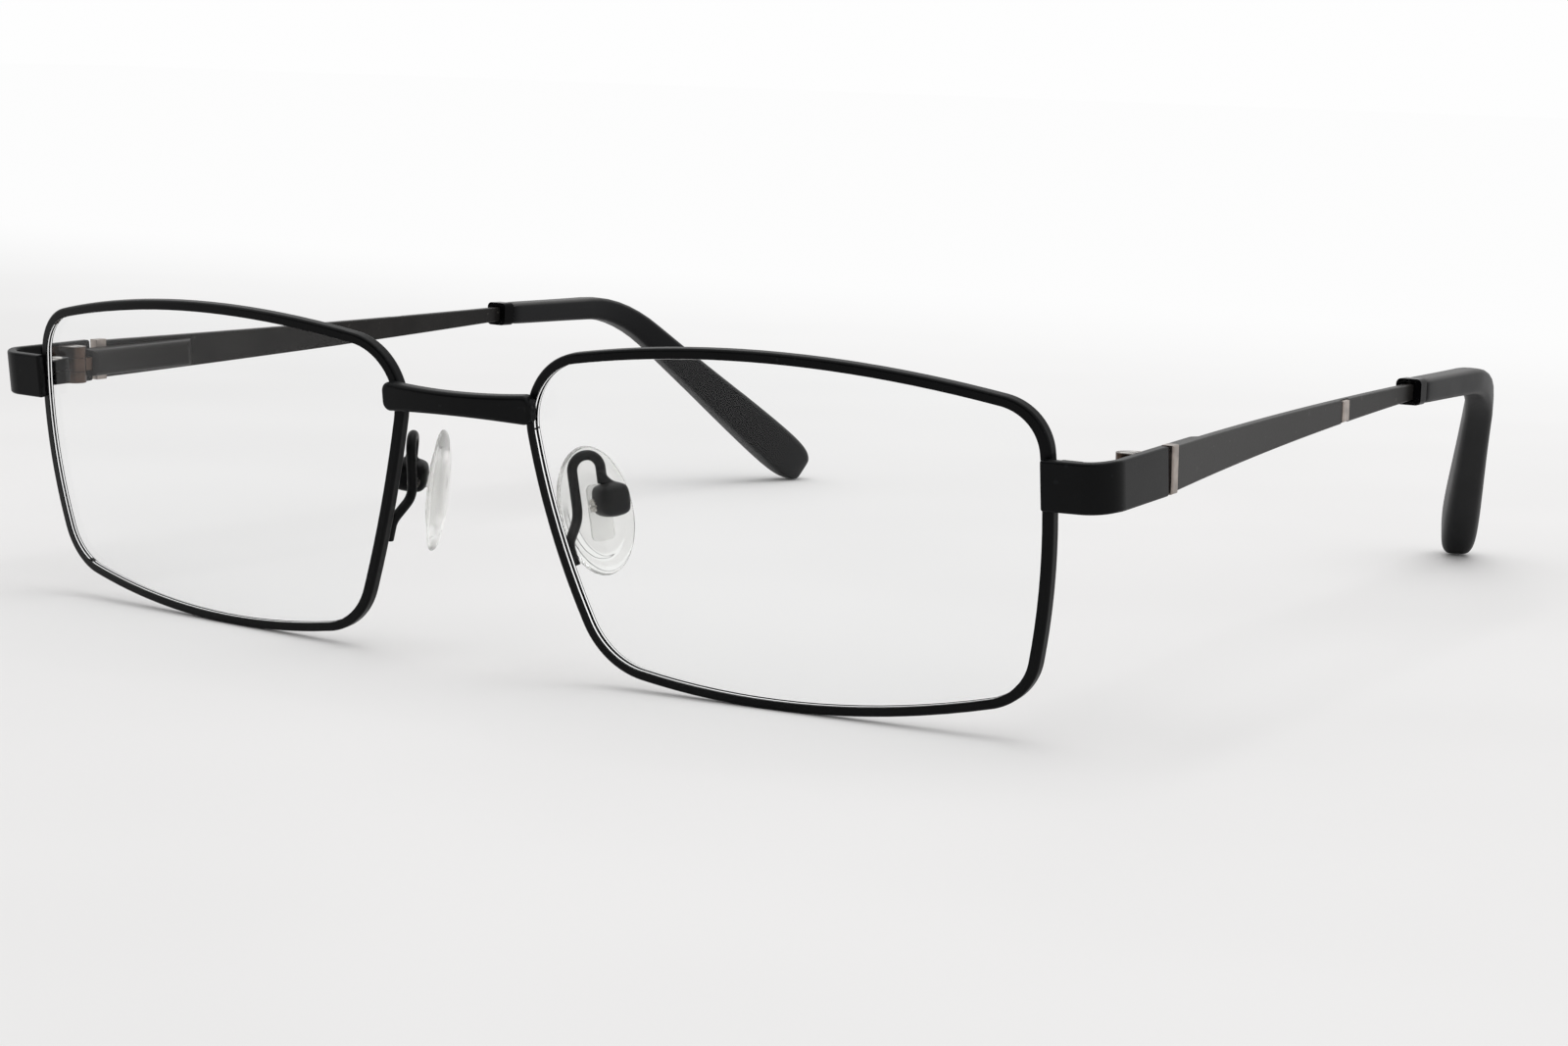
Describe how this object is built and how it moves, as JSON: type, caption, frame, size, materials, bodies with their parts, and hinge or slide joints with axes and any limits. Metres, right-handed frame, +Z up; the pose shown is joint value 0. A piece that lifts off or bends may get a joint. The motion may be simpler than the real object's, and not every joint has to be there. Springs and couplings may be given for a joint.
{
  "type": "rectangular eyeglasses",
  "caption": "Full-rim rectangular metal eyeglasses with spring-hinged folding temples, plastic temple tips and rocking nose pads on wire arms.",
  "frame": {"origin": "centre of the bounding box at the floor, with the glasses open and standing on the lower rims and the ends of the tips", "axes": "+X to the wearer's left, +Y backwards from the lenses to the tips, +Z up"},
  "size_m": [0.1348, 0.1458, 0.0339],
  "materials": {
    "front_metal": "satin black",
    "temple_metal": "satin dark grey",
    "accent_metal": "satin",
    "hinge_metal": "bare bronze coloured",
    "screw_steel": "bright",
    "spring_steel": "bright",
    "lens_glass": "clear, polished",
    "pad_plastic": "clear soft plastic",
    "insert_plastic": "pale grey",
    "tip_plastic": "satin black",
    "collar_plastic": "glossy black"
  },
  "bodies": {
    "front": {"bridge": "front_metal", "left_rim": "front_metal", "left_lens": "lens_glass", "left_rim_lock_upper": "front_metal", "left_rim_lock_lower": "front_metal", "left_rim_lock_screw": "screw_steel", "left_end_piece": "front_metal", "left_hinge_knuckles": "hinge_metal", "left_hinge_screw": "screw_steel", "left_pad_arm": "front_metal", "left_pad_box": "front_metal", "left_pad_screw": "screw_steel", "right_rim": "front_metal", "right_lens": "lens_glass", "right_rim_lock_upper": "front_metal", "right_rim_lock_lower": "front_metal", "right_rim_lock_screw": "screw_steel", "right_end_piece": "front_metal", "right_hinge_knuckles": "hinge_metal", "right_hinge_screw": "screw_steel", "right_pad_arm": "front_metal", "right_pad_box": "front_metal", "right_pad_screw": "screw_steel"},
    "left_slider": {"left_spring_slider": "hinge_metal", "left_slider_stop": "screw_steel"},
    "left_temple": {"left_temple": "temple_metal", "left_front_accent": "accent_metal", "left_middle_accent": "accent_metal", "left_spring_housing": "temple_metal", "left_hinge_bush": "hinge_metal", "left_hinge_spring": "spring_steel", "left_collar": "collar_plastic", "left_temple_tip": "tip_plastic"},
    "left_pad": {"left_nose_pad": "pad_plastic", "left_pad_insert": "insert_plastic"},
    "right_slider": {"right_spring_slider": "hinge_metal", "right_slider_stop": "screw_steel"},
    "right_temple": {"right_temple": "temple_metal", "right_front_accent": "accent_metal", "right_middle_accent": "accent_metal", "right_spring_housing": "temple_metal", "right_hinge_bush": "hinge_metal", "right_hinge_spring": "spring_steel", "right_collar": "collar_plastic", "right_temple_tip": "tip_plastic"},
    "right_pad": {"right_nose_pad": "pad_plastic", "right_pad_insert": "insert_plastic"}
  },
  "joints": [
    {"name": "left_temple_fold", "type": "hinge", "parent": "front", "child": "left_slider", "pos_m": [0.0646, -0.05716, 0.02427], "axis": [-0.0053, -0.0223, 0.9997], "range_deg": [0, 85]},
    {"name": "right_temple_fold", "type": "hinge", "parent": "front", "child": "right_slider", "pos_m": [-0.0646, -0.05716, 0.02427], "axis": [-0.0053, 0.0223, -0.9997], "range_deg": [0, 70]},
    {"name": "left_spring_slide", "type": "slide", "parent": "left_slider", "child": "left_temple", "axis": [-0.0521, 0.9984, 0.022], "range_m": [0, 0.001], "stiffness_N_per_m": 2000, "springref_m": -0.001, "deforming": ["left_hinge_spring"]},
    {"name": "right_spring_slide", "type": "slide", "parent": "right_slider", "child": "right_temple", "axis": [0.0521, 0.9984, 0.022], "range_m": [0, 0.001], "stiffness_N_per_m": 2000, "springref_m": -0.001, "deforming": ["right_hinge_spring"]},
    {"name": "left_pad_rock", "type": "hinge", "parent": "front", "child": "left_pad", "pos_m": [0.01202, -0.06279, 0.01705], "axis": [0.454, 0.8842, 0.1096], "range_deg": [-8, 8]},
    {"name": "right_pad_rock", "type": "hinge", "parent": "front", "child": "right_pad", "pos_m": [-0.01202, -0.06279, 0.01705], "axis": [0.454, -0.8842, -0.1096], "range_deg": [-8, 8]}
  ]
}
